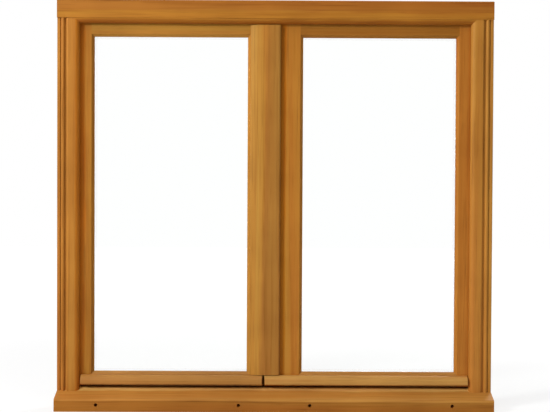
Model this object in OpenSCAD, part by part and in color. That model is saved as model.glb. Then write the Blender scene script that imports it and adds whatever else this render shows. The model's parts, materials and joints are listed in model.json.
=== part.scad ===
// Double casement window in stained timber: two glazed leaves that open into the room.
// X runs to the right as seen from outside, Y into the room, Z up.
// The origin lies on the sill's underside, midway, in the plane of the jambs' outer face.

/* [Frame] */
// Width over the jambs
frame_w = 1260; // [900:5:1800]
// Height from the sill's underside to the top of the head
frame_h = 1183; // [800:1:1800]
// Depth of the jambs and the head
frame_d = 58; // [54:1:70]
// Width of the flat and moulded outer face of a jamb
face_w = 50; // [44:1:64]
// Height of the head's outer face
head_h = 53; // [44:1:64]
// Width of the rounded inner edge
edge_round_w = 14; // [10:1:16]
// How far the head's face stands out from the jambs
head_proud = 2; // [1:0.25:3]
// Depth of the stop that the leaves close against
stop_d = 18; // [17:1:22]
// How far the stop stands over the leaf rebate
stop_cover = 18; // [14:1:24]
// Width of the set-back strip along a jamb's outer edge
edge_strip_w = 9; // [6:0.5:10]
// Diameter of the bead that runs up a jamb
bead_d = 12; // [9:0.5:13]
// Width of the quirk on the inner side of the bead
bead_quirk = 4; // [2:0.5:5]
// Diameter of the fixing screw holes through the jambs
fixing_d = 8; // [6:0.5:10]
// Distance of the fixing holes from the top and from the sill
fixing_inset = 260; // [180:5:320]

/* [Sill] */
// How far the nose stands out from the jambs
sill_nose = 45; // [30:1:60]
// Height of the nose's front face
sill_front_h = 36; // [28:1:42]
// Rise of the slope for each millimetre of depth
sill_slope = 0.33; // [0.2:0.01:0.36]
// Diameter of the drain holes
drain_d = 10; // [6:0.5:12]
// Distance of the inner drain holes from the middle
drain_mid = 102; // [60:1:160]
// Distance of the outer drain holes from the jambs
drain_inset = 56; // [30:1:120]
// Width of the gutter that the drain holes empty
gutter_w = 10; // [8:0.5:11]

/* [Leaves] */
// Thickness of a leaf's lip
lip_t = 11; // [9:0.5:14]
// Air gap between the stop and a leaf's outer face
stop_gap = 2; // [1:0.25:3]
// Clearance round a leaf in its rebate
leaf_clear = 4; // [3:0.25:6]
// How far a leaf's lip covers the frame's room face
lip_cover = 8; // [6:0.5:12]
// Gap that the lip's seal fills
lip_gap = 3; // [2:0.25:4]
// Width of a hinge stile from its edge to the glass
stile_w = 54.5; // [48:0.5:80]
// Height of a top rail from its edge to the glass
top_rail_h = 51; // [46:0.5:80]
// Height of a bottom rail from its edge to the glass
bottom_rail_h = 41; // [40:0.5:120]
// Width and depth of the chamfer beside the glass
glass_chamfer = 8; // [5:0.5:9]
// Distance of the glass from the middle of the window
meeting_half = 80.5; // [76:0.5:100]
// Place of the joint between the leaves
joint_x = -31.5; // [-34:0.5:-26]
// Gap between the leaves at the joint
joint_gap = 5; // [5:0.25:6]

/* [Cover strips] */
// Reach of the outer cover strip past the middle
cover_reach = 16; // [10:0.5:24]
// Thickness of the outer cover strip
cover_t = 12; // [9:0.5:14]
// Width of the flat on the outer cover strip
cover_flat = 41; // [30:0.5:44]
// Thickness of the inner cover strip
inner_cover_t = 14; // [10:0.5:18]
// How far the inner cover strip laps the left leaf
inner_cover_lap = 21; // [14:0.5:22]

/* [Weather bars] */
// How far a weather bar stands out from its leaf
bar_out = 22; // [16:0.5:24]
// Height of a weather bar
bar_h = 25; // [23:0.5:30]
// Clearance between a weather bar and the jamb beside it
bar_clear = 4; // [3:0.5:6]
// Bevel that lets the bars pass each other at the joint
bar_bevel = 2.5; // [2:0.25:4]

/* [Glazing] */
// Thickness of each pane
pane_t = 4; // [3:0.5:6]
// Cavity between the panes
cavity_t = 16; // [12:1:18]
// Depth of the glazing rebate beyond the visible edge
glass_rebate = 15; // [12:0.5:18]
// Distance of the glazing beads behind the visible edge of the timber
bead_inset = 5; // [3:0.5:5.5]
// Clearance round the panes, filled by the setting blocks
pane_clear = 4; // [3:0.5:5]

/* [Hinges] */
// Radius of the hinge knuckles
knuckle_r = 7; // [6:0.25:8]
// Length of each knuckle
knuckle_l = 28; // [22:1:40]
// Radius of the hinge pins
hinge_pin_r = 4; // [3:0.25:4.5]
// Radius of the studs that screw into the timber
stud_r = 3.5; // [2.5:0.25:4]
// Distance of the end hinges from the leaf's ends
hinge_inset = 150; // [100:5:200]

/* [Bolt gear] */
// Height of the handle above the sill's underside
handle_z = 564; // [450:2:640]
// Radius of the half-round bolt rods
rod_r = 8; // [6:0.5:9]
// Throw of the rods
rod_throw = 18; // [14:1:20]
// Depth of the gear case
case_d = 20; // [17:0.5:26]
// Length of the lever
lever_l = 78; // [60:1:90]
// Radius of the lever beside its neck
lever_r = 8; // [6:0.5:9]

/* [Hidden] */
$fn = 64;
// Joinery, running and moving clearances
glue_clear = 0.1;
run_clear = 0.05;
move_clear = 0.3;
past = 1;

// Frame levels and edges, on the right-hand side
out_x = frame_w / 2;
round_x = out_x - face_w;
stop_x = round_x - edge_round_w;
rebate_x = stop_x + stop_cover;
head_line_z = frame_h - head_h;
head_stop_z = head_line_z - edge_round_w;
edge_round_d = edge_round_w * 0.72;
head_rebate_z = head_stop_z + stop_cover;
strip_quirk = 1.5;
bead_out_x = out_x - edge_strip_w - strip_quirk;
bead_in_x = bead_out_x - bead_d;
recess_x = bead_in_x - bead_quirk;
strip_set = 2.5;
arris_r = 6;
strip_r = 2;
top_arris = 3;

// Sill levels
crest_w = 6;
crest_h = 5;
slope_top_y = stop_d - crest_w;
slope_top_z = sill_front_h + sill_slope * (sill_nose + slope_top_y);
crest_z = slope_top_z + crest_h;
gutter_y = stop_d + 2;
gutter_z = sill_front_h * 0.75;
drain_z = sill_front_h * 0.55;
nose_r = 6;
nose_tilt = atan(sill_slope);
nose_y = nose_r - sill_nose;
nose_z = sill_front_h + sill_slope * nose_r - nose_r / cos(nose_tilt);
drip_r = 3.5;
drip_in = 12;

// Joinery of the frame
tenon_t = 16;
tenon_w = 24;
tenon_l = 24;
tenon_y = 34;
tenon_margin = 10;
tenon_x = out_x - tenon_margin - tenon_w;

// Leaf levels and edges, on the right-hand side
leaf_out_y = stop_d + stop_gap;
lip_y = frame_d + lip_gap;
leaf_in_y = lip_y + lip_t;
leaf_edge_x = rebate_x - leaf_clear;
lip_edge_x = rebate_x + lip_cover;
leaf_top_z = head_rebate_z - leaf_clear;
lip_top_z = head_rebate_z + lip_cover;
foot_extra = 1;
leaf_foot_z = crest_z + leaf_clear + foot_extra;
lip_foot_z = crest_z - lip_cover;
sight_x = leaf_edge_x - stile_w;
sight_top_z = leaf_top_z - top_rail_h;
sight_foot_z = leaf_foot_z + bottom_rail_h;
glass_lip = 3;
lip_back_y = leaf_out_y + glass_chamfer + glass_lip;
lip_r = 3;
rail_tenon_l = 32;
rail_tenon_t = 14;
rail_tenon_edge = 5;
rail_tenon_glass = 2;

// Meeting edges of the right leaf, and of the left leaf in its mirrored frame
right_edge = joint_x + joint_gap / 2;
left_edge = -(joint_x - joint_gap / 2);

// Glazing levels
tape_t = 1;
pane_out_y = lip_back_y + tape_t;
cavity_y = pane_out_y + pane_t;
pane_in_y = cavity_y + cavity_t;
bead_y = pane_in_y + pane_t + tape_t;
tape_w = glass_rebate - pane_clear - bead_inset;
sealant_w = 3;
spacer_w = 5;
bead_bevel = 6;
bead_edge = bead_inset + bead_bevel;
block_l = 80;
// Outline that the panes, the spacer, the sealant and the tapes share
glass_x0 = meeting_half - glass_rebate + pane_clear;
glass_x1 = sight_x + glass_rebate - pane_clear;
glass_z0 = sight_foot_z - glass_rebate + pane_clear;
glass_z1 = sight_top_z + glass_rebate - pane_clear;

// Weather bars
bar_top_z = sight_foot_z - glass_chamfer - 1;
bar_foot_z = bar_top_z - bar_h;
bar_front_y = leaf_out_y - bar_out;
bar_end_x = stop_x - bar_clear;
bar_back = 4;
bar_round = bar_out - bar_back;
bar_drip_r = 2.5;
tongue_h = 8;
tongue_d = 8;
tongue_stop = 10;
bar_square = 6;
bar_drip_in = 7;

// Cover strips
cover_front_y = leaf_out_y - cover_t;
cover_gap = 2.5;
cover_left_x = -(meeting_half - glass_chamfer);
cover_flat_x = cover_reach - cover_flat;
cover_edge_t = 3;
cover_r = 6;
cover_foot_z = bar_top_z + 1;
cover_top_z = head_stop_z - 2;
seal_w = 6;
seal_in = 4;
seal_end = 2;
seal_margin = 1;
inner_cover_w = 75;
inner_cover_x = right_edge - joint_gap - inner_cover_lap;
inner_cover_gap = 1.5;
inner_cover_y = leaf_in_y + inner_cover_t;
inner_cover_r = 5;

// Hinges
hinge_x = lip_edge_x + knuckle_r + 1;
hinge_y = frame_d + knuckle_r + 1;
hinge_zs = [lip_foot_z + hinge_inset, (lip_foot_z + lip_top_z) / 2, lip_top_z - hinge_inset];
stud_inset = 7;
frame_stud_y = frame_d - 28;
leaf_stud_x = lip_edge_x - 32;

// Teeth of the pinion and the racks: a quarter turn of the handle moves the rods by their throw
gear_teeth = 12;
tooth_step = 360 / gear_teeth;
pressure = 25;
pinion_r = 2 * rod_throw / PI;
tooth_pitch = 2 * PI * pinion_r / gear_teeth;
tooth_h = 0.24 * tooth_pitch;
tooth_clear = 0.1;
tip_clear = 0.3;
tooth_half = tooth_pitch / 4 - tooth_clear;
pinion_base = pinion_r * cos(pressure);
pinion_radii = [
    pinion_r - tooth_h - 2 * tip_clear, pinion_base, pinion_r, pinion_r + tooth_h / 2, pinion_r + tooth_h
];
rack_x = pinion_r + tooth_h + tip_clear;
rack_back = rack_x + 2.4;
rack_first = -4;
rack_last = 1;
rack_end = (rack_first - 0.5) * tooth_pitch;
rack_sink = 0.5;
arm_h = 6;
gear_clear = 0.5;
gear_t = 6;

// Bolt gear, centred on the inner cover strip
rod_inner = 2 - rack_end;
gear_y = inner_cover_y + 1.5;
chest_w = 2 * (rack_back + gear_clear);
chest_h = 2 * (rod_inner + arm_h + rod_throw + 1);
case_wall = 1.9;
case_end = 12;
case_w = chest_w + 2 * case_wall;
case_h = chest_h + 2 * case_end;
gear_x = inner_cover_x + inner_cover_w / 2;
rod_y = inner_cover_y + move_clear;
keeper_gap = 2;
keeper_h = rod_throw + 2 * keeper_gap;
keeper_w = 28;
keeper_t = 3;
keeper_plate_w = 52;
keeper_plate_h = 30;
keeper_bore_r = rod_r + 1;
upper_rod_top = lip_top_z + keeper_gap;
lower_rod_foot = lip_foot_z - keeper_gap;
keeper_wall = 5;
keeper_y = rod_y + rod_r + keeper_wall;
guide_w = 32;
guide_h = 14;
guide_t = 3;
spindle_r = 5;
rose_r = 17;
rose_t = 4;
case_y = inner_cover_y + case_d;
case_r = 8;
neck_l = 24;
neck_r = 8;
hub_y = case_y + rose_t + move_clear;
lever_y = hub_y + neck_l;

// Colours of the timber, glass, metal and rubber
timber = [0.70, 0.45, 0.18];
timber_light = [0.76, 0.52, 0.25];
timber_dark = [0.62, 0.38, 0.15];
glass_tint = [0.86, 0.93, 0.94, 0.35];
metal = [0.72, 0.58, 0.32];
steel = [0.72, 0.73, 0.74];
rubber = [0.12, 0.11, 0.10];

// Extrudes a profile drawn in Y and Z along X
module along_x(x0, x1) {
    translate([x0, 0, 0])
        rotate([90, 0, 90])
            linear_extrude(x1 - x0)
                children();
}

// Extrudes a profile drawn in X and Y along Z
module along_z(z0, z1) {
    translate([0, 0, z0])
        linear_extrude(z1 - z0)
            children();
}

// A block given by its two corners
module block(low, high) {
    translate(low)
        cube(high - low);
}

// What is cut from a square corner at the origin to round it; the material lies towards +X and +Y
module arris_cut(r) {
    difference() {
        translate([-past, -past])
            square(r + past);
        translate([r, r])
            circle(r);
    }
}

// What is cut from an edge to leave an arc that starts flush with the face; the face runs along X
module round_cut(w, d) {
    r = (w * w + d * d) / (2 * d);
    difference() {
        translate([0, -past])
            square([w + past, d + past]);
        translate([0, r])
            circle(r, $fn = 128);
    }
}

// A rectangular ring in X and Z, between two depths
module ring(x0, x1, z0, z1, w, y0, y1) {
    difference() {
        block([x0, y0, z0], [x1, y1, z1]);
        block([x0 + w, y0 - past, z0 + w], [x1 - w, y1 + past, z1 - w]);
    }
}

// Jamb section: set-back strip, bead between quirks, rounded arris, face, rounded edge, stop and rebate
module jamb_section() {
    difference() {
        polygon([
            [out_x, 0], [stop_x, 0], [stop_x, stop_d],
            [rebate_x, stop_d], [rebate_x, frame_d], [out_x, frame_d]
        ]);
        translate([round_x, 0])
            mirror([1, 0])
                round_cut(edge_round_w, edge_round_d);
        translate([recess_x, -past])
            square([out_x - edge_strip_w - recess_x, bead_d / 2 + past]);
        translate([out_x - edge_strip_w - past, -past])
            square([edge_strip_w + 2 * past, strip_set + past]);
        translate([recess_x, 0])
            mirror([1, 0])
                arris_cut(arris_r);
        translate([out_x, strip_set])
            mirror([1, 0])
                arris_cut(strip_r);
    }
    translate([bead_in_x + bead_d / 2, bead_d / 2])
        circle(bead_d / 2);
}

// Sill section: nose with a drip groove, weathered slope, bevelled crest and a level seat behind it
module sill_section() {
    difference() {
        polygon([
            [-sill_nose, 0], [-sill_nose, sill_front_h], [slope_top_y, slope_top_z],
            [stop_d, crest_z], [frame_d, crest_z], [frame_d, 0]
        ]);
        translate([-sill_nose + drip_in, 0])
            circle(drip_r);
        translate([nose_y, nose_z])
            nose_cut();
    }
}

// What is cut from the sill's upper front edge to round it, from the centre of the round
module nose_cut() {
    reach = nose_r + past;
    top = [-reach * sin(nose_tilt), reach * cos(nose_tilt)];
    difference() {
        polygon([[0, 0], [-reach, 0], [-reach, reach], top]);
        circle(nose_r);
    }
}

// Head section: the jamb's rounded edge under a face that stands out, stop, rebate and a small top arris
module head_section() {
    difference() {
        polygon([
            [top_arris - head_proud, frame_h], [-head_proud, frame_h - top_arris],
            [-head_proud, head_line_z], [0, head_line_z], [0, head_stop_z], [stop_d, head_stop_z],
            [stop_d, head_rebate_z], [frame_d, head_rebate_z], [frame_d, frame_h]
        ]);
        translate([0, head_line_z])
            rotate(-90)
                round_cut(edge_round_w, edge_round_d);
    }
}

// Extrudes an outline drawn in X and Z through the depth of the stop
module through_stop() {
    translate([0, stop_d, 0])
        rotate([90, 0, 0])
            linear_extrude(stop_d + past)
                children();
}

// Tenon of a jamb, or its mortise when given a clearance
module jamb_tenon(z0, z1, clear) {
    block(
        [tenon_x - clear, tenon_y - clear, z0 - clear],
        [tenon_x + tenon_w + clear, tenon_y + tenon_t + clear, z1 + clear]
    );
}

// Right-hand jamb between the sill and the head
module jamb() {
    difference() {
        union() {
            along_z(0, head_line_z)
                jamb_section();
            block([rebate_x, stop_d, head_line_z], [out_x, frame_d, head_rebate_z]);
            jamb_tenon(head_rebate_z, head_rebate_z + tenon_l, 0);
        }
        through_stop()
            polygon([
                [stop_x - past, head_stop_z - past], [round_x, head_line_z],
                [round_x, head_line_z + past], [stop_x - past, head_line_z + past]
            ]);
        along_x(0, out_x + past)
            sill_section();
        for (z = [crest_z + fixing_inset, frame_h - fixing_inset])
            translate([0, (stop_d + frame_d) / 2, z])
                rotate([0, 90, 0])
                    cylinder(r = fixing_d / 2, h = out_x + past);
        for (z = hinge_zs)
            frame_studs(z, glue_clear);
    }
    jamb_tenon(crest_z - tenon_l, crest_z, 0);
}

module frame_jamb_left() {
    color(timber_light)
        mirror([1, 0, 0])
            jamb();
}

module frame_jamb_right() {
    color(timber)
        jamb();
}

// Part of the head to the right of the middle; its stop is mitred to the jamb's
module half_head() {
    difference() {
        along_x(0, out_x)
            head_section();
        through_stop()
            polygon([
                [stop_x - past, head_stop_z - past], [round_x, head_line_z],
                [out_x + past, head_line_z], [out_x + past, head_stop_z - past]
            ]);
        jamb_tenon(head_rebate_z, head_rebate_z + tenon_l, glue_clear);
        block([rebate_x, stop_d, 0], [out_x + past, frame_d + past, head_rebate_z]);
    }
}

module frame_head() {
    color(timber_light) {
        half_head();
        mirror([1, 0, 0])
            half_head();
    }
}

// Drain hole that falls from the gutter to the nose's front face
module drain(x) {
    run = sill_nose + gutter_y + gutter_w / 2;
    fall = gutter_z - drain_z;
    translate([x, -sill_nose, drain_z])
        rotate([-90 + atan(fall / run), 0, 0])
            translate([0, 0, -past])
                cylinder(r = drain_d / 2, h = run + past);
}

module frame_sill() {
    drains = [drain_mid, stop_x - drain_inset];
    color(timber)
        difference() {
            along_x(-out_x, out_x)
                sill_section();
            block([-stop_x, gutter_y, gutter_z], [stop_x, gutter_y + gutter_w, crest_z + past]);
            for (side = [-1, 1])
                for (x = drains)
                    drain(side * x);
            for (side = [0, 1])
                mirror([side, 0, 0])
                    jamb_tenon(crest_z - tenon_l, crest_z, glue_clear);
        }
}

// Screw studs of a hinge's frame half, along Y into the jamb
module frame_studs(z, clear) {
    for (dz = [stud_inset, knuckle_l - stud_inset])
        translate([hinge_x, frame_stud_y - clear, z - dz])
            rotate([-90, 0, 0])
                cylinder(r = stud_r + clear, h = hinge_y - frame_stud_y);
}

// Screw studs of a hinge's leaf half, along X into the stile
module leaf_studs(z, clear) {
    for (dz = [stud_inset, knuckle_l - stud_inset])
        translate([leaf_stud_x - clear, hinge_y, z + dz])
            rotate([0, 90, 0])
                cylinder(r = stud_r + clear, h = hinge_x - leaf_stud_x);
}

// Turned knuckle with a rounded finial at its far end
module knuckle() {
    rotate_extrude()
        polygon([
            [0, 0], [knuckle_r, 0], [knuckle_r, knuckle_l - 1],
            [knuckle_r - 1, knuckle_l], [knuckle_r - 1.6, knuckle_l + 1.5],
            [knuckle_r - 3, knuckle_l + 2.8], [0, knuckle_l + 3.4]
        ]);
}

// Frame half of a hinge: lower knuckle, pin and studs
module hinge_pin(z) {
    color(steel) {
        translate([hinge_x, hinge_y, z])
            mirror([0, 0, 1])
                knuckle();
        translate([hinge_x, hinge_y, z - past])
            cylinder(r = hinge_pin_r, h = knuckle_l - 2 + past);
        frame_studs(z, 0);
    }
}

// Leaf half of a hinge: upper knuckle bored for the pin, and studs
module hinge_sleeve(z) {
    color(steel)
        difference() {
            union() {
                translate([hinge_x, hinge_y, z + move_clear])
                    knuckle();
                leaf_studs(z, 0);
            }
            translate([hinge_x, hinge_y, z - past])
                cylinder(r = hinge_pin_r + run_clear, h = knuckle_l + past);
        }
}

module hinge_pin_left_lower() { mirror([1, 0, 0]) hinge_pin(hinge_zs[0]); }
module hinge_pin_left_middle() { mirror([1, 0, 0]) hinge_pin(hinge_zs[1]); }
module hinge_pin_left_upper() { mirror([1, 0, 0]) hinge_pin(hinge_zs[2]); }
module hinge_pin_right_lower() { hinge_pin(hinge_zs[0]); }
module hinge_pin_right_middle() { hinge_pin(hinge_zs[1]); }
module hinge_pin_right_upper() { hinge_pin(hinge_zs[2]); }
module hinge_sleeve_left_lower() { mirror([1, 0, 0]) hinge_sleeve(hinge_zs[0]); }
module hinge_sleeve_left_middle() { mirror([1, 0, 0]) hinge_sleeve(hinge_zs[1]); }
module hinge_sleeve_left_upper() { mirror([1, 0, 0]) hinge_sleeve(hinge_zs[2]); }
module hinge_sleeve_right_lower() { hinge_sleeve(hinge_zs[0]); }
module hinge_sleeve_right_middle() { hinge_sleeve(hinge_zs[1]); }
module hinge_sleeve_right_upper() { hinge_sleeve(hinge_zs[2]); }

// Hinge stile section: chamfer and rebate for the glass, lip over the frame
module hinge_stile_section() {
    difference() {
        polygon([
            [leaf_edge_x, leaf_out_y], [leaf_edge_x, lip_y], [lip_edge_x, lip_y], [lip_edge_x, leaf_in_y],
            [sight_x + glass_rebate, leaf_in_y], [sight_x + glass_rebate, lip_back_y],
            [sight_x, lip_back_y], [sight_x, leaf_out_y + glass_chamfer],
            [sight_x + glass_chamfer, leaf_out_y]
        ]);
        translate([lip_edge_x, leaf_in_y])
            rotate(180)
                arris_cut(lip_r);
    }
}

// Meeting stile section, with its meeting edge at a given place
module meeting_stile_section(edge) {
    polygon([
        [edge, leaf_out_y], [edge, leaf_in_y],
        [meeting_half - glass_rebate, leaf_in_y], [meeting_half - glass_rebate, lip_back_y],
        [meeting_half, lip_back_y], [meeting_half, leaf_out_y + glass_chamfer],
        [meeting_half - glass_chamfer, leaf_out_y]
    ]);
}

// A stile of full height: the part behind the lip's face reaches past the frame's edge
module stile_length() {
    difference() {
        along_z(lip_foot_z, lip_top_z)
            children();
        block([-frame_w, -past, lip_foot_z - past], [frame_w, lip_y, leaf_foot_z]);
        block([-frame_w, -past, leaf_top_z], [frame_w, lip_y, lip_top_z + past]);
    }
}

// Tenons of a rail into both stiles, or their mortises when given a clearance
module rail_tenons(z0, z1, clear) {
    y0 = (lip_back_y + leaf_in_y - rail_tenon_t) / 2;
    block(
        [meeting_half - glass_rebate - rail_tenon_l - clear, y0 - clear, z0 - clear],
        [meeting_half - glass_rebate + past, y0 + rail_tenon_t + clear, z1 + clear]
    );
    block(
        [sight_x + glass_rebate - past, y0 - clear, z0 - clear],
        [sight_x + glass_rebate + rail_tenon_l + clear, y0 + rail_tenon_t + clear, z1 + clear]
    );
}

module top_rail_tenons(clear) {
    rail_tenons(sight_top_z + glass_rebate + rail_tenon_glass, leaf_top_z - rail_tenon_edge, clear);
}

module bottom_rail_tenons(clear) {
    rail_tenons(leaf_foot_z + rail_tenon_edge, sight_foot_z - glass_rebate - rail_tenon_glass, clear);
}

module hinge_stile() {
    difference() {
        stile_length()
            hinge_stile_section();
        top_rail_tenons(glue_clear);
        bottom_rail_tenons(glue_clear);
        for (z = hinge_zs)
            leaf_studs(z, glue_clear);
    }
}

module meeting_stile(edge) {
    difference() {
        stile_length()
            meeting_stile_section(edge);
        top_rail_tenons(glue_clear);
        bottom_rail_tenons(glue_clear);
    }
}

// What a rail is scribed to: both stiles at full height
module scribe_stiles() {
    along_z(0, frame_h) {
        hinge_stile_section();
        meeting_stile_section(left_edge);
    }
}

module top_rail() {
    difference() {
        along_x(meeting_half - glass_rebate, sight_x + glass_rebate)
            difference() {
                polygon([
                    [leaf_out_y, leaf_top_z], [lip_y, leaf_top_z],
                    [lip_y, lip_top_z], [leaf_in_y, lip_top_z],
                    [leaf_in_y, sight_top_z + glass_rebate], [lip_back_y, sight_top_z + glass_rebate],
                    [lip_back_y, sight_top_z], [leaf_out_y + glass_chamfer, sight_top_z],
                    [leaf_out_y, sight_top_z + glass_chamfer]
                ]);
                translate([leaf_in_y, lip_top_z])
                    rotate(180)
                        arris_cut(lip_r);
            }
        scribe_stiles();
    }
    top_rail_tenons(0);
}

// Tongue of a weather bar in its rail, or the rail's groove when given a clearance
module bar_tongue(edge, clear) {
    z0 = bar_foot_z + tongue_h;
    block(
        [max(edge, meeting_half) + tongue_stop, leaf_out_y - past, z0 - clear],
        [sight_x - tongue_stop, leaf_out_y + tongue_d + clear, z0 + tongue_h + clear]
    );
}

module bottom_rail(edge) {
    difference() {
        along_x(meeting_half - glass_rebate, sight_x + glass_rebate)
            difference() {
                polygon([
                    [leaf_out_y, leaf_foot_z], [lip_y, leaf_foot_z],
                    [lip_y, lip_foot_z], [leaf_in_y, lip_foot_z],
                    [leaf_in_y, sight_foot_z - glass_rebate], [lip_back_y, sight_foot_z - glass_rebate],
                    [lip_back_y, sight_foot_z], [leaf_out_y + glass_chamfer, sight_foot_z],
                    [leaf_out_y, sight_foot_z - glass_chamfer]
                ]);
                translate([leaf_in_y, lip_foot_z])
                    rotate(90)
                        arris_cut(lip_r);
            }
        scribe_stiles();
        bar_tongue(edge, glue_clear);
    }
    bottom_rail_tenons(0);
}

// Weather bar section: quarter-round nose, flat foot with a drip groove
module bar_section() {
    difference() {
        union() {
            translate([bar_front_y, bar_foot_z])
                square([bar_out, bar_h - bar_round]);
            intersection() {
                translate([leaf_out_y - bar_back, bar_top_z - bar_round])
                    circle(bar_round);
                translate([bar_front_y, bar_top_z - bar_round])
                    square(bar_round);
            }
            translate([leaf_out_y - bar_back, bar_foot_z])
                square([bar_back, bar_h]);
        }
        translate([bar_front_y + bar_drip_in, bar_foot_z])
            circle(bar_drip_r);
    }
}

// Weather bar from the meeting edge to the jamb, bevelled where it passes its neighbour
module weather_bar(edge) {
    difference() {
        along_x(edge, bar_end_x)
            bar_section();
        along_z(0, frame_h)
            polygon([
                [edge - past, bar_front_y - past], [edge + bar_bevel, bar_front_y - past],
                [edge + bar_bevel, bar_front_y], [edge, leaf_out_y - bar_square],
                [edge - past, leaf_out_y - bar_square]
            ]);
    }
    bar_tongue(edge, 0);
}

module pane(y) {
    color(glass_tint)
        block([glass_x0, y, glass_z0], [glass_x1, y + pane_t, glass_z1]);
}

module spacer() {
    s = sealant_w;
    color(steel)
        ring(
            glass_x0 + s, glass_x1 - s, glass_z0 + s, glass_z1 - s,
            spacer_w, cavity_y, cavity_y + cavity_t
        );
}

module edge_sealant() {
    color(rubber)
        ring(glass_x0, glass_x1, glass_z0, glass_z1, sealant_w, cavity_y, cavity_y + cavity_t);
}

module glazing_tape() {
    color(rubber) {
        ring(glass_x0, glass_x1, glass_z0, glass_z1, tape_w, lip_back_y, lip_back_y + tape_t);
        ring(glass_x0, glass_x1, glass_z0, glass_z1, tape_w, bead_y - tape_t, bead_y);
    }
}

// Section of an upright glazing bead beside the hinge stile
module bead_section() {
    polygon([
        [sight_x + glass_rebate, bead_y], [sight_x + bead_inset, bead_y],
        [sight_x + bead_inset, leaf_in_y - bead_bevel],
        [sight_x + bead_edge, leaf_in_y], [sight_x + glass_rebate, leaf_in_y]
    ]);
}

module upright_beads() {
    middle = meeting_half + sight_x;
    along_z(sight_foot_z - glass_rebate, sight_top_z + glass_rebate)
        bead_section();
    translate([middle, 0, 0])
        mirror([1, 0, 0])
            along_z(sight_foot_z - glass_rebate, sight_top_z + glass_rebate)
                bead_section();
}

// A level bead scribed between the uprights; out is 1 above the glass and -1 below it
module level_bead(z, out) {
    difference() {
        along_x(meeting_half - bead_edge, sight_x + bead_edge)
            polygon([
                [bead_y, z + out * glass_rebate], [bead_y, z + out * bead_inset],
                [leaf_in_y - bead_bevel, z + out * bead_inset],
                [leaf_in_y, z + out * bead_edge], [leaf_in_y, z + out * glass_rebate]
            ]);
        for (shift = [-glue_clear, glue_clear])
            translate([shift, 0, 0])
                upright_beads();
    }
}

module glazing_beads() {
    color(timber) {
        upright_beads();
        level_bead(sight_top_z, 1);
        level_bead(sight_foot_z, -1);
    }
}

module setting_blocks() {
    span = glass_x1 - glass_x0;
    z0 = glass_z0 - pane_clear;
    color(rubber)
        for (x = [glass_x0 + span / 4, glass_x1 - span / 4])
            block([x - block_l / 2, pane_out_y, z0], [x + block_l / 2, pane_in_y + pane_t, glass_z0]);
}

// Seal behind the lip, along the hinge side, the top and the foot
module lip_seal() {
    y0 = frame_d + move_clear;
    x1 = lip_edge_x - seal_margin;
    z0 = lip_foot_z + seal_margin;
    z1 = lip_top_z - seal_margin;
    x0 = meeting_half - glass_rebate;
    color(rubber)
        difference() {
            block([x0, y0, z0], [x1, lip_y, z1]);
            block([x0 - past, y0 - past, z0 + seal_w], [x1 - seal_w, lip_y + past, z1 - seal_w]);
        }
}

module left_hinge_stile() { color(timber) mirror([1, 0, 0]) hinge_stile(); }
module left_meeting_stile() { color(timber_light) mirror([1, 0, 0]) meeting_stile(left_edge); }
module left_top_rail() { color(timber) mirror([1, 0, 0]) top_rail(); }
module left_bottom_rail() { color(timber) mirror([1, 0, 0]) bottom_rail(left_edge); }
module left_weather_bar() { color(timber) mirror([1, 0, 0]) weather_bar(left_edge); }
module left_outer_pane() { mirror([1, 0, 0]) pane(pane_out_y); }
module left_inner_pane() { mirror([1, 0, 0]) pane(pane_in_y); }
module left_spacer() { mirror([1, 0, 0]) spacer(); }
module left_edge_sealant() { mirror([1, 0, 0]) edge_sealant(); }
module left_glazing_tape() { mirror([1, 0, 0]) glazing_tape(); }
module left_glazing_beads() { mirror([1, 0, 0]) glazing_beads(); }
module left_setting_blocks() { mirror([1, 0, 0]) setting_blocks(); }
module left_lip_seal() { mirror([1, 0, 0]) lip_seal(); }
module right_hinge_stile() { color(timber_dark) hinge_stile(); }
module right_meeting_stile() { color(timber) meeting_stile(right_edge); }
module right_top_rail() { color(timber) top_rail(); }
module right_bottom_rail() { color(timber) bottom_rail(right_edge); }
module right_weather_bar() { color(timber) weather_bar(right_edge); }
module right_outer_pane() { pane(pane_out_y); }
module right_inner_pane() { pane(pane_in_y); }
module right_spacer() { spacer(); }
module right_edge_sealant() { edge_sealant(); }
module right_glazing_tape() { glazing_tape(); }
module right_glazing_beads() { glazing_beads(); }
module right_setting_blocks() { setting_blocks(); }
module right_lip_seal() { lip_seal(); }

// Outer cover strip on the left leaf: a shallow swell that rises to a flat over the right leaf
module outer_cover_strip() {
    swell_w = cover_flat_x - cover_left_x;
    swell_h = cover_t - cover_edge_t;
    swell_r = (swell_w * swell_w + swell_h * swell_h) / (2 * swell_h);
    lap_y = leaf_out_y - cover_gap;
    color(timber_light)
        along_z(cover_foot_z, cover_top_z)
            difference() {
                union() {
                    translate([cover_flat_x, cover_front_y])
                        square([cover_flat, lap_y - cover_front_y]);
                    intersection() {
                        translate([cover_left_x, cover_front_y])
                            square([-left_edge - cover_left_x, cover_t]);
                        translate([cover_flat_x, cover_front_y + swell_r])
                            circle(swell_r, $fn = 180);
                    }
                    intersection() {
                        translate([-left_edge, cover_front_y])
                            square([cover_flat_x + left_edge, lap_y - cover_front_y]);
                        translate([cover_flat_x, cover_front_y + swell_r])
                            circle(swell_r, $fn = 180);
                    }
                }
                translate([cover_reach, cover_front_y])
                    mirror([1, 0])
                        arris_cut(cover_r);
            }
}

// Seal behind the outer cover strip, just clear of the right leaf
module outer_cover_seal() {
    color(rubber)
        block(
            [cover_reach - seal_in - seal_w, leaf_out_y - cover_gap, cover_foot_z + seal_end],
            [cover_reach - seal_in, leaf_out_y - move_clear, cover_top_z - seal_end]
        );
}

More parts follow.
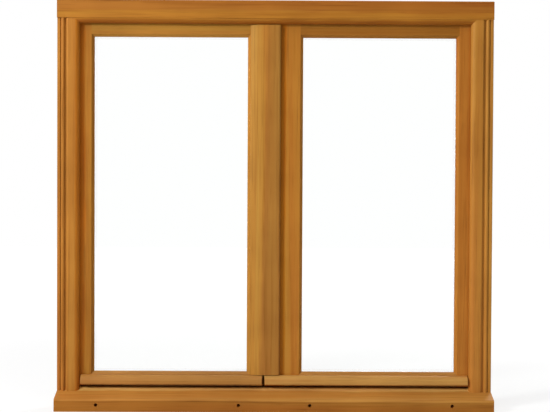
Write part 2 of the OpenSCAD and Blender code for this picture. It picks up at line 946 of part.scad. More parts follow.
// Inner cover strip on the right leaf, lapping the left leaf
module inner_cover_strip() {
    lap_y = leaf_in_y + inner_cover_gap;
    color(timber)
        along_z(lip_foot_z, lip_top_z)
            difference() {
                union() {
                    translate([inner_cover_x, lap_y])
                        square([inner_cover_w, inner_cover_y - lap_y]);
                    translate([right_edge, leaf_in_y])
                        square([inner_cover_x + inner_cover_w - right_edge, inner_cover_t]);
                }
                translate([inner_cover_x, inner_cover_y])
                    rotate(-90)
                        arris_cut(inner_cover_r);
                translate([inner_cover_x + inner_cover_w, inner_cover_y])
                    rotate(180)
                        arris_cut(inner_cover_r);
            }
}

// Half-round section of a bolt rod, grown by a clearance
module rod_section(clear) {
    intersection() {
        translate([gear_x, rod_y])
            circle(rod_r + clear);
        translate([gear_x - 2 * rod_r, rod_y - clear])
            square([4 * rod_r, 2 * rod_r]);
    }
}

// Extrudes an outline drawn in X and Z about the handle's axis through the thickness of the gear
module gear_plate() {
    translate([gear_x, gear_y + gear_t, handle_z])
        rotate([90, 0, 0])
            linear_extrude(gear_t)
                children();
}

// Rack of the upper rod, to the left of the pinion, with the arm that joins it to the rod
module rack_outline() {
    root_half = tooth_half + (rack_x + rack_sink - pinion_r) * tan(pressure);
    tip_half = tooth_half - tooth_h * tan(pressure);
    polygon([
        [-rack_back, rack_end], [-rack_x, rack_end], [-rack_x, rod_inner], [0, rod_inner],
        [0, rod_inner + arm_h], [-rack_back, rod_inner + arm_h]
    ]);
    for (i = [rack_first:rack_last])
        translate([-rack_x, i * tooth_pitch])
            polygon([
                [-rack_sink, -root_half], [tip_clear + 2 * tooth_h, -tip_half],
                [tip_clear + 2 * tooth_h, tip_half], [-rack_sink, root_half]
            ]);
}

// Angle whose tangent outruns it by the involute at a radius, in radians
function involute(angle) = tan(angle) - angle * PI / 180;

// Half the angle that a pinion tooth fills at a radius
function tooth_angle(r) =
    (tooth_half / pinion_r + involute(pressure) - involute(acos(min(1, pinion_base / r)))) * 180 / PI;

function polar(r, angle) = [r * cos(angle), r * sin(angle)];

// Pinion with involute teeth; a gap faces each rack
module pinion_outline() {
    last = len(pinion_radii) - 1;
    polygon([
        for (i = [0:gear_teeth - 1])
            each concat(
                [
                    for (r = pinion_radii)
                        polar(r, (i + 0.5) * tooth_step - tooth_angle(max(r, pinion_base)))
                ],
                [
                    for (j = [last:-1:0])
                        polar(
                            pinion_radii[j],
                            (i + 0.5) * tooth_step + tooth_angle(max(pinion_radii[j], pinion_base))
                        )
                ]
            )
    ]);
}

module upper_rod() {
    color(metal) {
        along_z(handle_z + rod_inner, upper_rod_top)
            rod_section(0);
        gear_plate()
            rack_outline();
    }
}

module lower_rod() {
    color(metal) {
        along_z(lower_rod_foot, handle_z - rod_inner)
            rod_section(0);
        gear_plate()
            rotate(180)
                rack_outline();
    }
}

// Rounded gear case: a chest for the pinion and the racks, a channel for each rod, a bore for the spindle
module gear_case() {
    chest_y = gear_y + gear_t + gear_clear;
    color(metal)
        difference() {
            intersection() {
                translate([0, inner_cover_y, 0])
                    rotate([-90, 0, 0])
                        linear_extrude(case_d)
                            case_outline();
                along_z(0, frame_h)
                    case_plan();
            }
            along_z(handle_z - case_h, handle_z + case_h)
                rod_section(move_clear);
            block(
                [gear_x - chest_w / 2, inner_cover_y - past, handle_z - chest_h / 2],
                [gear_x + chest_w / 2, chest_y, handle_z + chest_h / 2]
            );
            spindle_bore(gear_y);
        }
}

// Outline of the gear case seen from the room
module case_outline() {
    translate([gear_x, -handle_z]) {
        square([case_w, case_h - 2 * case_r], center = true);
        square([case_w - 2 * case_r, case_h], center = true);
        for (sx = [-1, 1])
            for (sy = [-1, 1])
                translate([sx * (case_w / 2 - case_r), sy * (case_h / 2 - case_r)])
                    circle(case_r);
    }
}

// Plan of the gear case, with rounded room-side arrises
module case_plan() {
    difference() {
        translate([gear_x - case_w / 2, inner_cover_y])
            square([case_w, case_d]);
        for (side = [0, 1])
            translate([gear_x, 0])
                mirror([side, 0])
                    translate([case_w / 2, case_y])
                        rotate(180)
                            arris_cut(inner_cover_r);
    }
}

module spindle_bore(y0) {
    translate([gear_x, y0, handle_z])
        rotate([-90, 0, 0])
            cylinder(r = spindle_r + run_clear, h = case_y + rose_t + past - y0);
}

module handle_rose() {
    color(metal)
        difference() {
            translate([gear_x, case_y, handle_z])
                rotate([-90, 0, 0])
                    rotate_extrude()
                        polygon([[0, 0], [rose_r, 0], [rose_r, 1.5], [rose_r - 2, rose_t], [0, rose_t]]);
            spindle_bore(case_y - past);
        }
}

// Staple-shaped guides that hold the rods on the cover strip
module rod_guides() {
    quarter = (upper_rod_top - handle_z - case_h / 2) / 4;
    drop = (handle_z - case_h / 2 - lower_rod_foot) / 4;
    zs = [
        handle_z + case_h / 2 + quarter, handle_z + case_h / 2 + 3 * quarter,
        handle_z - case_h / 2 - drop, handle_z - case_h / 2 - 3 * drop
    ];
    color(metal)
        for (z = zs)
            along_z(z - guide_h / 2, z + guide_h / 2)
                difference() {
                    union() {
                        translate([gear_x - guide_w / 2, inner_cover_y])
                            square([guide_w, guide_t]);
                        intersection() {
                            translate([gear_x, rod_y])
                                circle(rod_r + guide_t);
                            translate([gear_x - guide_w / 2, inner_cover_y])
                                square([guide_w, rod_r + 2 * guide_t]);
                        }
                    }
                    translate([gear_x, rod_y])
                        circle(rod_r + move_clear);
                }
}

// Lever handle: pinion, spindle, neck and a tapered lever with a rounded end
module handle() {
    color(metal) {
        gear_plate()
            pinion_outline();
        translate([gear_x, gear_y, handle_z])
            rotate([-90, 0, 0])
                cylinder(r = spindle_r, h = hub_y - gear_y + past);
        translate([gear_x, hub_y, handle_z])
            rotate([-90, 0, 0])
                rotate_extrude()
                    polygon([
                        [0, 0], [neck_r + 3, 0], [neck_r + 3, 2], [neck_r - 1, 5], [neck_r - 1, neck_l - 6],
                        [neck_r, neck_l], [0, neck_l]
                    ]);
        translate([gear_x, lever_y, handle_z])
            sphere(lever_r);
        translate([gear_x, lever_y, handle_z])
            rotate([0, 90, 0])
                cylinder(r1 = lever_r, r2 = lever_r - 2, h = lever_l - lever_r);
        translate([gear_x + lever_l - lever_r, lever_y, handle_z])
            sphere(lever_r - 1);
    }
}

// Keeper on the frame's room face: a screwed plate and a block bored for a rod
module keeper(z0, plate_z0) {
    color(metal)
        difference() {
            union() {
                block(
                    [gear_x - keeper_w / 2, frame_d, z0],
                    [gear_x + keeper_w / 2, keeper_y, z0 + keeper_h]
                );
                block(
                    [gear_x - keeper_plate_w / 2, frame_d, plate_z0],
                    [gear_x + keeper_plate_w / 2, frame_d + keeper_t, plate_z0 + keeper_plate_h]
                );
            }
            translate([gear_x, rod_y, z0 - past])
                cylinder(r = keeper_bore_r, h = keeper_h + 2 * past);
        }
}

module upper_keeper() {
    z0 = upper_rod_top + keeper_gap;
    keeper(z0, z0);
}

module lower_keeper() {
    z0 = lower_rod_foot - keeper_gap - keeper_h;
    keeper(z0, z0 + keeper_h - keeper_plate_h);
}

frame_head();
frame_jamb_left();
frame_jamb_right();
frame_sill();
upper_keeper();
lower_keeper();
hinge_pin_left_lower();
hinge_pin_left_middle();
hinge_pin_left_upper();
hinge_pin_right_lower();
hinge_pin_right_middle();
hinge_pin_right_upper();
left_hinge_stile();
left_meeting_stile();
left_top_rail();
left_bottom_rail();
left_weather_bar();
outer_cover_strip();
outer_cover_seal();
left_outer_pane();
left_inner_pane();
left_spacer();
left_edge_sealant();
left_glazing_tape();
left_glazing_beads();
left_setting_blocks();
left_lip_seal();
hinge_sleeve_left_lower();
hinge_sleeve_left_middle();
hinge_sleeve_left_upper();
right_hinge_stile();
right_meeting_stile();
right_top_rail();
right_bottom_rail();
right_weather_bar();
inner_cover_strip();
right_outer_pane();
right_inner_pane();
right_spacer();
right_edge_sealant();
right_glazing_tape();
right_glazing_beads();
right_setting_blocks();
right_lip_seal();
hinge_sleeve_right_lower();
hinge_sleeve_right_middle();
hinge_sleeve_right_upper();
gear_case();
handle_rose();
rod_guides();
handle();
upper_rod();
lower_rod();
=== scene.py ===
"""Looks of the timber double casement window: stained wood, glass, brass gear, studio light and camera."""
import json
import math
from collections import namedtuple

import bmesh
import bpy
from mathutils import Matrix, Vector

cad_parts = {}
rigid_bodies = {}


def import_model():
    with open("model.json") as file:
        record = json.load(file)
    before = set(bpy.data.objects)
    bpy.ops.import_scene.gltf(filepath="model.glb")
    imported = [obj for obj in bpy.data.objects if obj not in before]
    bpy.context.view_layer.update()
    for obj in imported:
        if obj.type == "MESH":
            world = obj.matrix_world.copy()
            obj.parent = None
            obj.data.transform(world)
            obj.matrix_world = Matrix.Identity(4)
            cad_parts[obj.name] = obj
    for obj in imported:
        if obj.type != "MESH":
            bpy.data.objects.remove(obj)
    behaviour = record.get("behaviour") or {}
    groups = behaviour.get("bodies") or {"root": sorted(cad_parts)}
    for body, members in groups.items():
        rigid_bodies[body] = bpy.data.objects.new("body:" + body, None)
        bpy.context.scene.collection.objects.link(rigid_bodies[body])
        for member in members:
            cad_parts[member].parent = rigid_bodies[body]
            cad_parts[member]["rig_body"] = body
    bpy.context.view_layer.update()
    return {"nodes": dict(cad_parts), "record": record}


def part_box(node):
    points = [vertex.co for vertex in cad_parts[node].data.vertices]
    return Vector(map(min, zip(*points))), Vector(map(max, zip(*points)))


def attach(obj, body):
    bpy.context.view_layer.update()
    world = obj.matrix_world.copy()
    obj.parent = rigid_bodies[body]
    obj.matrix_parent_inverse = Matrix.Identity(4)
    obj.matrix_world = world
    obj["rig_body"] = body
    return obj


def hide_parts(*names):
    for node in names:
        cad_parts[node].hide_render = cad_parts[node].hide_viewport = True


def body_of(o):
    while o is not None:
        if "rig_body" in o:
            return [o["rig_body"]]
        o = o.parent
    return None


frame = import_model()
nodes = frame["nodes"]
subparts = frame["record"]["subparts"]
scene = bpy.context.scene
scene.view_settings.view_transform = "Standard"

# Camera, fitted to the edges of the window in the photograph
IMAGE_W = 550
SENSOR = 36.0
FOCAL_PX = 1078.7
CAMERA_AT = Vector((-0.0145, -3.1175, 0.6494))
YAW, PITCH, ROLL = 0.0047, -0.0190, 0.0049


def make_camera():
    forward = Vector((math.sin(YAW) * math.cos(PITCH), math.cos(YAW) * math.cos(PITCH), math.sin(PITCH)))
    level = Vector((math.cos(YAW), -math.sin(YAW), 0.0))
    upright = level.cross(forward)
    right = level * math.cos(ROLL) + upright * math.sin(ROLL)
    up = upright * math.cos(ROLL) - level * math.sin(ROLL)
    data = bpy.data.cameras.new("camera")
    data.sensor_width = SENSOR
    data.lens = FOCAL_PX * SENSOR / IMAGE_W
    cam = bpy.data.objects.new("camera", data)
    scene.collection.objects.link(cam)
    turn = Matrix((right, up, -forward)).transposed().to_4x4()
    cam.matrix_world = Matrix.Translation(CAMERA_AT) @ turn
    scene.camera = cam


make_camera()

# Node helpers
BLACK = (0.0, 0.0, 0.0)
WHITE = (1.0, 1.0, 1.0)


def new_material(name):
    mat = bpy.data.materials.new(name)
    mat.use_nodes = True
    tree = mat.node_tree
    tree.nodes.clear()
    out = tree.nodes.new("ShaderNodeOutputMaterial")
    return mat, tree, out


def add(tree, kind, inputs=None, **settings):
    """A node with its settings, socket values and links; a link is given as another node's socket."""
    node = tree.nodes.new(kind)
    for key, value in settings.items():
        setattr(node, key, value)
    for key, value in (inputs or {}).items():
        if isinstance(value, bpy.types.NodeSocket):
            tree.links.new(value, node.inputs[key])
        else:
            node.inputs[key].default_value = value
    return node


def object_place(tree):
    return add(tree, "ShaderNodeTexCoord").outputs["Object"]


def calc(tree, operation, *values):
    """What a Math node makes of the values."""
    return add(tree, "ShaderNodeMath", dict(enumerate(values)), operation=operation).outputs["Value"]


def remap(tree, value, low, high):
    """A value between 0 and 1, spread from low to high."""
    node = add(tree, "ShaderNodeMapRange", {"Value": value, "To Min": low, "To Max": high})
    return node.outputs["Result"]


def smooth_step(tree, value, start, end, least=0.0):
    """Goes from least to 1 as the value goes from start to end."""
    node = add(
        tree, "ShaderNodeMapRange",
        {"Value": value, "From Min": start, "From Max": end, "To Min": least},
        interpolation_type="SMOOTHSTEP",
    )
    return node.outputs["Result"]


def ramp(tree, fac, stops):
    node = add(tree, "ShaderNodeValToRGB", {"Fac": fac})
    points = node.color_ramp.elements
    while len(points) < len(stops):
        points.new(0.5)
    for point, (place, colour) in zip(points, stops):
        point.position = place
        point.color = (*colour, 1.0)
    return node.outputs["Color"]


def mix(tree, fac, a, b, blend_type="MIX"):
    node = add(tree, "ShaderNodeMix", data_type="RGBA", blend_type=blend_type)
    for socket, value in (("Factor", fac), ("A", a), ("B", b)):
        found = [s for s in node.inputs if s.name == socket and s.enabled]
        if isinstance(value, bpy.types.NodeSocket):
            tree.links.new(value, found[0])
        elif isinstance(value, (int, float)):
            found[0].default_value = value
        else:
            found[0].default_value = (*value, 1.0)
    return [s for s in node.outputs if s.enabled][0]


def noise(tree, where, scale, detail=2.0, roughness=0.5, distortion=0.0):
    node = add(
        tree, "ShaderNodeTexNoise",
        {"Vector": where, "Scale": scale, "Detail": detail, "Roughness": roughness,
         "Distortion": distortion},
    )
    return node.outputs["Fac"]


def bump(tree, height, strength, distance):
    node = add(tree, "ShaderNodeBump", {"Height": height, "Strength": strength, "Distance": distance})
    return node.outputs["Normal"]


def blend(tree, share, first, second):
    """The first shader with a share of the second."""
    return add(tree, "ShaderNodeMixShader", {"Fac": share, 1: first, 2: second}).outputs["Shader"]


# Timber: grain that runs along the member, streaks, pores and broad changes of tone
ALONG_X = "x"
ALONG_Z = "z"
GRAIN_STRETCH = 0.022
SHIFT_WAY = (1.0, 0.7, 1.3)
RED = (0.96, 0.84, 0.85)
GOLD = (1.04, 1.17, 1.30)
BANDS = ((0.32, RED), (0.50, WHITE), (0.70, GOLD))
CLOUD_DARK = (0.90, 0.88, 0.86)
CLOUD_LIGHT = (1.08, 1.10, 1.12)
STREAK = (0.70, 0.60, 0.45)
STREAK_SHARE = 0.75
PORE = (0.42, 0.33, 0.25)
PORE_SHARE = 0.45
WOOD_ROUGH, WOOD_SMOOTH = 0.56, 0.40

# Another colour on a board's outer face, beyond a line that leans from start to end; most of these are
# painted shade and painted highlights, marked at each board
Tone = namedtuple("Tone", "stain axis side start end width")
ABOVE, BELOW = 1, -1
OUTER_FACE_FRONT, OUTER_FACE_BACK = 0.030, 0.037
LINE_RUNS = {"X": ("Z", 0.0, 1.1), "Z": ("X", -0.63, 0.63)}
WANDER = 3.0


def times(colour, other):
    return tuple(a * b for a, b in zip(colour, other))


def in_grain_bands(tree, broad, stain):
    """The given colour with its redder and more golden bands, for board stains and for painted shade and
    highlight colours alike.
    """
    return ramp(tree, broad, [(place, times(stain, part)) for place, part in BANDS])


def across(tree, where, tone):
    """1 on the outer face beyond the tone's line, else 0."""
    place = add(tree, "ShaderNodeSeparateXYZ", {"Vector": where}).outputs
    stray = noise(tree, where, scale=7.0)
    wander = calc(tree, "MULTIPLY_ADD", stray, tone.width * WANDER, -tone.width * WANDER / 2)
    wavy = calc(tree, "ADD", place[tone.axis], wander)
    along, first, last = LINE_RUNS[tone.axis]
    line = add(
        tree, "ShaderNodeMapRange",
        {"Value": place[along], "From Min": first, "From Max": last,
         "To Min": tone.start, "To Max": tone.end},
    ).outputs["Result"]
    beyond = calc(tree, "SUBTRACT", wavy, line)
    side = smooth_step(tree, beyond, -tone.width * tone.side, tone.width * tone.side)
    face = smooth_step(tree, place["Y"], OUTER_FACE_BACK, OUTER_FACE_FRONT)
    return calc(tree, "MULTIPLY", side, face)


def timber(name, axis, stain, shift, *tones):
    """Stained softwood; shift sets which part of the tree it is, then come the other colours of its outer
    face, most of them painted shade and painted highlights.
    """
    mat, tree, out = new_material(name)
    where = object_place(tree)
    stretch = (GRAIN_STRETCH, 1.0, 1.0) if axis == ALONG_X else (1.0, 1.0, GRAIN_STRETCH)
    grain = add(
        tree, "ShaderNodeMapping",
        {"Vector": where, "Location": [shift * way for way in SHIFT_WAY], "Scale": stretch},
    ).outputs["Vector"]
    broad = noise(tree, grain, scale=34.0, detail=3.0, distortion=0.4)
    streaks = noise(tree, grain, scale=95.0, detail=4.0, roughness=0.6, distortion=0.5)
    fine = noise(tree, grain, scale=320.0, detail=3.0, roughness=0.6)
    patch = noise(tree, where, scale=6.0)
    colour = in_grain_bands(tree, broad, stain)
    for tone in tones:
        colour = mix(tree, across(tree, where, tone), colour, in_grain_bands(tree, broad, tone.stain))
    clouds = ramp(tree, patch, [(0.3, CLOUD_DARK), (0.7, CLOUD_LIGHT)])
    colour = mix(tree, 1.0, colour, clouds, "MULTIPLY")
    lines = ramp(tree, streaks, [(0.30, STREAK), (0.48, WHITE)])
    colour = mix(tree, STREAK_SHARE, colour, lines, "MULTIPLY")
    pores = ramp(tree, fine, [(0.27, PORE), (0.42, WHITE)])
    colour = mix(tree, PORE_SHARE, colour, pores, "MULTIPLY")
    height = calc(tree, "ADD", streaks, fine)
    shader = add(
        tree, "ShaderNodeBsdfPrincipled",
        {"Base Color": colour, "Roughness": remap(tree, fine, WOOD_ROUGH, WOOD_SMOOTH),
         "Normal": bump(tree, height, strength=0.10, distance=0.001),
         "IOR": 1.48, "Specular IOR Level": 0.12},
    )
    tree.links.new(shader.outputs["BSDF"], out.inputs["Surface"])
    return mat


# Glass, metals and rubber
GLASS_TINT = (0.996, 1.0, 0.998, 1.0)
GLASS_LETS_BY = (0.97, 0.98, 0.975, 1.0)
RUBBER_DARK = (0.055, 0.026, 0.010)
RUBBER_LIGHT = (0.105, 0.052, 0.020)


def glass():
    """Clear float glass that lets lamp light through."""
    mat, tree, out = new_material("float_glass")
    ripple = noise(tree, object_place(tree), scale=3.0, detail=1.0)
    clear = add(
        tree, "ShaderNodeBsdfPrincipled",
        {"Base Color": GLASS_TINT, "Roughness": 0.0, "IOR": 1.45, "Transmission Weight": 1.0,
         "Normal": bump(tree, ripple, strength=0.02, distance=0.001)},
    )
    open_way = add(tree, "ShaderNodeBsdfTransparent", {"Color": GLASS_LETS_BY})
    rays = add(tree, "ShaderNodeLightPath").outputs
    lamp_light = calc(tree, "MAXIMUM", rays["Is Shadow Ray"], rays["Is Diffuse Ray"])
    both = blend(tree, lamp_light, clear.outputs["BSDF"], open_way.outputs["BSDF"])
    tree.links.new(both, out.inputs["Surface"])
    return mat


def metal(name, light, dark, smooth, rough, scratch_scale):
    """Worn metal: two tones, fine scratches and a roughness that follows them."""
    mat, tree, out = new_material(name)
    where = object_place(tree)
    cloud = noise(tree, where, scale=38.0, detail=4.0, roughness=0.6)
    scratch = noise(tree, where, scale=scratch_scale, detail=3.0, roughness=0.65)
    colour = mix(tree, ramp(tree, cloud, [(0.3, BLACK), (0.75, WHITE)]), light, dark)
    shader = add(
        tree, "ShaderNodeBsdfPrincipled",
        {"Base Color": colour, "Metallic": 1.0, "Roughness": remap(tree, scratch, smooth, rough),
         "Normal": bump(tree, scratch, strength=0.08, distance=0.0004)},
    )
    tree.links.new(shader.outputs["BSDF"], out.inputs["Surface"])
    return mat


def rubber():
    mat, tree, out = new_material("seal_rubber")
    speck = noise(tree, object_place(tree), scale=220.0, detail=3.0)
    shader = add(
        tree, "ShaderNodeBsdfPrincipled",
        {"Base Color": ramp(tree, speck, [(0.3, RUBBER_DARK), (0.7, RUBBER_LIGHT)]), "Roughness": 0.7,
         "Normal": bump(tree, speck, strength=0.15, distance=0.0005)},
    )
    tree.links.new(shader.outputs["BSDF"], out.inputs["Surface"])
    return mat


# Which board each timber piece is cut from: axis, stain, shift, and the other colours of its outer face,
# most of them painted shade and painted highlights
BOARDS = {
    "frame_head": (
        ALONG_X, (0.42, 0.164, 0.0180), 0.0,
        # painted shade: the head's lower rounded edge is darker and redder, where it turns down into shade
        Tone((0.31, 0.098, 0.0068), "Z", BELOW, start=1.126, end=1.126, width=0.003),
        Tone((0.36, 0.118, 0.0140), "Z", ABOVE, start=1.153, end=1.149, width=0.006),
    ),
    "frame_jamb_left": (
        ALONG_Z, (0.42, 0.161, 0.0230), 1.7,
        # painted shade: the left jamb's inner rounded edge is redder and darker, where shade falls into
        # its recess
        Tone((0.45, 0.148, 0.0120), "X", ABOVE, start=-0.577, end=-0.577, width=0.003),
    ),
    "frame_jamb_right": (ALONG_Z, (0.48, 0.202, 0.0310), 3.1),
    "frame_sill": (
        # painted light: this stain is the darker colour of the sill's front, and the first tone below
        # makes the upward slope lighter, as light falls from above
        ALONG_X, (0.35, 0.127, 0.0160), 5.3,
        Tone((0.48, 0.194, 0.0340), "Z", ABOVE, start=0.032, end=0.031, width=0.002),
        # painted highlight: a pale strip along the sill's crest under the weather bars, where light
        # catches the arris
        Tone((0.76, 0.440, 0.1200), "Z", ABOVE, start=0.0528, end=0.0528, width=0.0015),
    ),
    "left_hinge_stile": (
        ALONG_Z, (0.39, 0.160, 0.0200), 7.9,
        # painted shadow: the left jamb's shadow along the stile's outer edge, darker and redder
        Tone((0.48, 0.142, 0.0075), "X", BELOW, start=-0.553, end=-0.553, width=0.005),
    ),
    "left_meeting_stile": (ALONG_Z, (0.45, 0.197, 0.0280), 9.2),
    "left_top_rail": (ALONG_X, (0.42, 0.197, 0.0280), 11.4),
    "left_bottom_rail": (ALONG_X, (0.39, 0.169, 0.0380), 13.6),
    "left_weather_bar": (ALONG_X, (0.41, 0.186, 0.0410), 15.8),
    "outer_cover_strip": (
        ALONG_Z, (0.45, 0.200, 0.0300), 17.1,
        Tone((0.37, 0.157, 0.0260), "X", ABOVE, start=-0.045, end=-0.020, width=0.006),
    ),
    "left_glazing_beads": (ALONG_Z, (0.45, 0.185, 0.0220), 19.3),
    "right_hinge_stile": (ALONG_Z, (0.44, 0.152, 0.0190), 21.5),
    "right_meeting_stile": (
        ALONG_Z, (0.45, 0.178, 0.0225), 23.7,
        # painted shadow: the outer cover strip's shadow along the stile's left edge, darker and redder
        Tone((0.42, 0.130, 0.0050), "X", BELOW, start=0.030, end=0.030, width=0.004),
    ),
    "right_top_rail": (ALONG_X, (0.33, 0.123, 0.0145), 25.9),
    "right_bottom_rail": (ALONG_X, (0.42, 0.178, 0.0360), 28.2),
    "right_weather_bar": (ALONG_X, (0.50, 0.250, 0.0590), 30.6),
    "inner_cover_strip": (ALONG_Z, (0.46, 0.185, 0.0220), 33.0),
    "right_glazing_beads": (ALONG_Z, (0.46, 0.185, 0.0220), 35.4),
}
BY_SLOT = {
    "glass": glass(),
    "seal_rubber": rubber(),
    "gear_brass": metal(
        "gear_brass", light=(0.52, 0.35, 0.125), dark=(0.37, 0.225, 0.068),
        smooth=0.24, rough=0.46, scratch_scale=420.0,
    ),
    "hinge_steel": metal(
        "hinge_steel", light=(0.62, 0.63, 0.64), dark=(0.46, 0.47, 0.49),
        smooth=0.26, rough=0.48, scratch_scale=500.0,
    ),
    "spacer_metal": metal(
        "spacer_aluminium", light=(0.74, 0.75, 0.76), dark=(0.62, 0.63, 0.65),
        smooth=0.38, rough=0.55, scratch_scale=300.0,
    ),
}


def dress(node, material):
    slots = nodes[node].data.materials
    slots.clear()
    slots.append(material)


for part in subparts:
    name, slot = part["node"], part["material_slot"]
    if slot == "timber":
        dress(name, timber("timber_" + name, *BOARDS[name]))
    else:
        dress(name, BY_SLOT[slot])


def in_order(mesh):
    """Sorts vertices and faces by place, so that each run writes them in the same order."""
    spots = sorted(mesh.verts, key=lambda vert: tuple(vert.co))
    rank = {vert: i for i, vert in enumerate(spots)}
    shapes = sorted(mesh.faces, key=lambda face: sorted(rank[vert] for vert in face.verts))
    face_rank = {face: i for i, face in enumerate(shapes)}
    mesh.verts.sort(key=lambda vert: rank[vert])
    mesh.faces.sort(key=lambda face: face_rank[face])
    mesh.verts.index_update()
    mesh.faces.index_update()


def add_piece(name, mesh, materials, body):
    """A bmesh as an object that rides on a body."""
    data = bpy.data.meshes.new(name)
    in_order(mesh)
    mesh.to_mesh(data)
    mesh.free()
    for material in materials:
        data.materials.append(material)
    piece = bpy.data.objects.new(name, data)
    scene.collection.objects.link(piece)
    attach(piece, body)
    return piece


# Timber boards with their long arrises rounded over, each of which stands for its CAD node
ARRIS = 0.0012
ARRIS_STEPS = 2
ARRIS_ROUND = 0.5
ARRIS_LEAST = 0.08
ARRIS_ANGLE = math.radians(28)
FLAT_ANGLE = math.radians(0.3)
CREASE_ANGLE = math.radians(16)
WELD = 0.00001
BEADS = ("left_glazing_beads", "right_glazing_beads")


def level_grain(mesh):
    """Gives the second material to each shell that is wider than it is tall."""
    seen = set()
    for start in mesh.faces:
        if start in seen:
            continue
        shell = {start}
        front = [start]
        while front:
            for edge in front.pop().edges:
                new = [face for face in edge.link_faces if face not in shell]
                shell.update(new)
                front.extend(new)
        seen |= shell
        across_x = [vert.co.x for face in shell for vert in face.verts]
        up_z = [vert.co.z for face in shell for vert in face.verts]
        if max(across_x) - min(across_x) > max(up_z) - min(up_z):
            for face in shell:
                face.material_index = 1


def eased_mesh(node):
    """The node's mesh with its long outer arrises rounded over and its flat faces kept flat in shading."""
    mesh = bmesh.new()
    mesh.from_mesh(nodes[node].data)
    bmesh.ops.remove_doubles(mesh, verts=mesh.verts, dist=WELD)
    bmesh.ops.dissolve_limit(mesh, angle_limit=FLAT_ANGLE, verts=mesh.verts, edges=mesh.edges)
    arrises = []
    for edge in mesh.edges:
        if edge.calc_length() > ARRIS_LEAST and edge.calc_face_angle_signed(0.0) > ARRIS_ANGLE:
            arrises.append(edge)
    bmesh.ops.bevel(
        mesh, geom=arrises, offset=ARRIS, segments=ARRIS_STEPS, profile=ARRIS_ROUND, affect="EDGES",
    )
    bmesh.ops.dissolve_degenerate(mesh, edges=mesh.edges, dist=WELD)
    bmesh.ops.triangulate(mesh, faces=mesh.faces, ngon_method="BEAUTY")
    for face in mesh.faces:
        face.smooth = True
    for edge in mesh.edges:
        edge.smooth = edge.calc_face_angle(0.0) < CREASE_ANGLE
    return mesh


def eased_board(node):
    mesh = eased_mesh(node)
    materials = [nodes[node].data.materials[0]]
    if node in BEADS:
        level_grain(mesh)
        stain, shift = BOARDS[node][1:]
        materials.append(timber("timber_level_" + node, ALONG_X, stain, shift))
    piece = add_piece("board_" + node, mesh, materials, body_of(nodes[node])[0])
    shading = piece.modifiers.new("shading", "WEIGHTED_NORMAL")
    shading.keep_sharp = True
    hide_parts(node)


for board in BOARDS:
    eased_board(board)

# Metal pieces lose the odd triangle without area that the CAD mesh has
for part in subparts:
    if part["material_slot"] in ("hinge_steel", "gear_brass"):
        weld = nodes[part["node"]].modifiers.new("weld", "WELD")
        weld.merge_threshold = WELD


# Slotted screws that hold the keepers, the gear case and the rod guides
HEAD_R = 0.0024
HEAD_H = 0.0011
HEAD_RIM = 0.0003
HEAD_STEPS = 5
HEAD_WELD = 0.000002
HEAD_LEAST = 0.000001
SLOT_HALF = 0.00035
SLOT_FLOOR = 0.0004
FIRST_TURN, NEXT_TURN = 0.4, 1.1
PLATE_T = 0.003
KEEPER_SCREW_X = 0.020
KEEPER_SCREW_Z = (0.007, 0.023)
CASE_SCREW_X = 0.0105
CASE_SCREW_Z = 0.060
GUIDE_SCREW_X = 0.0135
GUIDE_SCREW_Z = 0.007
GUIDES_APART = 0.05


def screw_head(mesh, place, turn):
    """Domed head with a slot, on a face that looks into the room."""
    steps = HEAD_STEPS
    out = [SLOT_HALF + (HEAD_R - SLOT_HALF) * k / steps for k in range(steps + 1)]
    lines = [(-x, HEAD_H) for x in reversed(out)]
    lines += [(-SLOT_HALF, SLOT_FLOOR), (SLOT_HALF, SLOT_FLOOR)]
    lines += [(x, HEAD_H) for x in out]
    rows = []
    for x, most in lines:
        half = math.sqrt(max(HEAD_R ** 2 - x ** 2, 0.0))
        row = []
        for k in range(-steps, steps + 1):
            u = half * k / steps
            rise = min(most, HEAD_H * (1.0 - (x * x + u * u) / HEAD_R ** 2)) + HEAD_RIM
            side = x * math.cos(turn) - u * math.sin(turn)
            up = x * math.sin(turn) + u * math.cos(turn)
            row.append(mesh.verts.new(place + Vector((side, rise, up))))
        rows.append(row)
    for a, b in zip(rows, rows[1:]):
        for i in range(2 * steps):
            mesh.faces.new((a[i], a[i + 1], b[i + 1], b[i]))


def screws(name, body, places):
    mesh = bmesh.new()
    for i, place in enumerate(places):
        screw_head(mesh, place, FIRST_TURN + NEXT_TURN * i)
    bmesh.ops.remove_doubles(mesh, verts=mesh.verts, dist=HEAD_WELD)
    bmesh.ops.dissolve_degenerate(mesh, edges=mesh.edges, dist=HEAD_LEAST)
    rim = [e for e in mesh.edges if e.is_boundary]
    skirt = bmesh.ops.extrude_edge_only(mesh, edges=rim)["geom"]
    foot = [g for g in skirt if isinstance(g, bmesh.types.BMVert)]
    bmesh.ops.translate(mesh, vec=(0.0, -HEAD_RIM, 0.0), verts=foot)
    bmesh.ops.holes_fill(mesh, edges=[e for e in mesh.edges if e.is_boundary], sides=0)
    bmesh.ops.recalc_face_normals(mesh, faces=mesh.faces)
    piece = add_piece(name, mesh, [BY_SLOT["gear_brass"]], body)


def pair(x):
    return (-x, x)


def keeper_places(node):
    low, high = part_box(node)
    middle = (low.x + high.x) / 2
    face = low.y + PLATE_T
    return [Vector((middle + x, face, low.z + z)) for x in pair(KEEPER_SCREW_X) for z in KEEPER_SCREW_Z]


def case_places():
    low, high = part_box("gear_case")
    middle = (low + high) / 2
    return [
        Vector((middle.x + x, high.y, middle.z + z))
        for x in pair(CASE_SCREW_X) for z in pair(CASE_SCREW_Z)
    ]


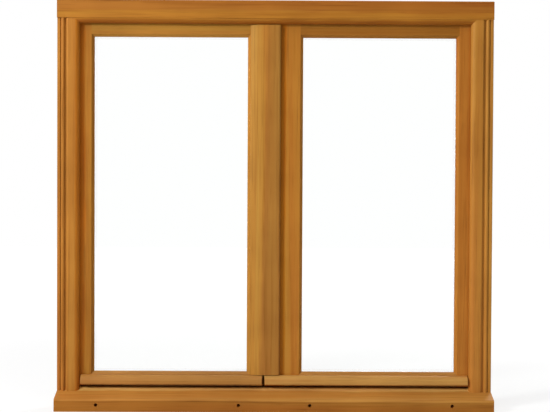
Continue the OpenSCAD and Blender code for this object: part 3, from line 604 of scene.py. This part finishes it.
def guide_places():
    """Two places on each guide; a guide starts where the node's heights jump."""
    low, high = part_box("rod_guides")
    middle = (low.x + high.x) / 2
    face = low.y + PLATE_T
    levels = sorted(v.co.z for v in nodes["rod_guides"].data.vertices)
    starts = levels[:1] + [z for before, z in zip(levels, levels[1:]) if z - before > GUIDES_APART]
    return [Vector((middle + x, face, z + GUIDE_SCREW_Z)) for z in starts for x in pair(GUIDE_SCREW_X)]


screws("keeper_screws", "frame", keeper_places("upper_keeper") + keeper_places("lower_keeper"))
screws("gear_screws", "right_leaf", case_places() + guide_places())


# Floor, world and lamps
FLOOR_HALF = 8.0
FLOOR_WHITE = 0.93
FLOOR_GLOW = 1.06
SHADOW_SHARE = 0.32
SHADOW_NEAR, SHADOW_FAR = 1.0, 2.6
WORLD_LEVEL, WORLD_SEEN = 0.17, 1.0

# For each lamp its place, the point that it is aimed at, its size in metres and its power in watts
LAMPS = {
    "key": ((-3.2, -2.6, 2.4), (0.0, 0.0, 0.6), 1.1, 150.0),
    "top": ((-0.3, -1.6, 4.4), (0.0, 0.0, 0.4), 2.5, 55.0),
    "room": ((2.3, 2.9, 2.0), (0.0, 0.0, 0.6), 1.4, 92.0),
}


def seen_rays(tree):
    """1 for rays that show the background: from the camera, a reflection or through glass."""
    rays = add(tree, "ShaderNodeLightPath").outputs
    first = calc(tree, "MAXIMUM", rays["Is Camera Ray"], rays["Is Glossy Ray"])
    return calc(tree, "MAXIMUM", first, rays["Is Transmission Ray"])


def make_floor():
    """White floor that keeps a share of the object's shadow near it."""
    mesh = bpy.data.meshes.new("floor")
    h = FLOOR_HALF
    mesh.from_pydata([(-h, -h, 0), (h, -h, 0), (h, h, 0), (-h, h, 0)], [], [(0, 1, 2, 3)])
    obj = bpy.data.objects.new("floor", mesh)
    scene.collection.objects.link(obj)
    mat, tree, out = new_material("floor_white")
    plain = add(tree, "ShaderNodeBsdfDiffuse", {"Color": (FLOOR_WHITE, FLOOR_WHITE, FLOOR_WHITE, 1.0)})
    white = add(tree, "ShaderNodeEmission", {"Color": (*WHITE, 1.0), "Strength": FLOOR_GLOW})
    away = add(tree, "ShaderNodeVectorMath", {0: object_place(tree)}, operation="LENGTH").outputs["Value"]
    glow = smooth_step(tree, away, SHADOW_NEAR, SHADOW_FAR, least=1.0 - SHADOW_SHARE)
    share = calc(tree, "MULTIPLY", seen_rays(tree), glow)
    both = blend(tree, share, plain.outputs["BSDF"], white.outputs["Emission"])
    tree.links.new(both, out.inputs["Surface"])
    mesh.materials.append(mat)


def make_world():
    world = bpy.data.worlds.new("world")
    scene.world = world
    world.use_nodes = True
    tree = world.node_tree
    tree.nodes.clear()
    out = tree.nodes.new("ShaderNodeOutputWorld")
    level = remap(tree, seen_rays(tree), WORLD_LEVEL, WORLD_SEEN)
    back = add(tree, "ShaderNodeBackground", {"Color": (*WHITE, 1.0), "Strength": level})
    tree.links.new(back.outputs["Background"], out.inputs["Surface"])


def area_lamp(name, place, target, size, watts):
    data = bpy.data.lights.new(name, "AREA")
    data.shape = "DISK"
    data.size = size
    data.energy = watts
    lamp = bpy.data.objects.new(name, data)
    scene.collection.objects.link(lamp)
    lamp.location = place
    lamp.rotation_mode = "QUATERNION"
    lamp.rotation_quaternion = (Vector(target) - Vector(place)).to_track_quat("-Z", "Y")
    lamp.visible_transmission = False


make_floor()
make_world()
for lamp_name, values in LAMPS.items():
    area_lamp(lamp_name, *values)
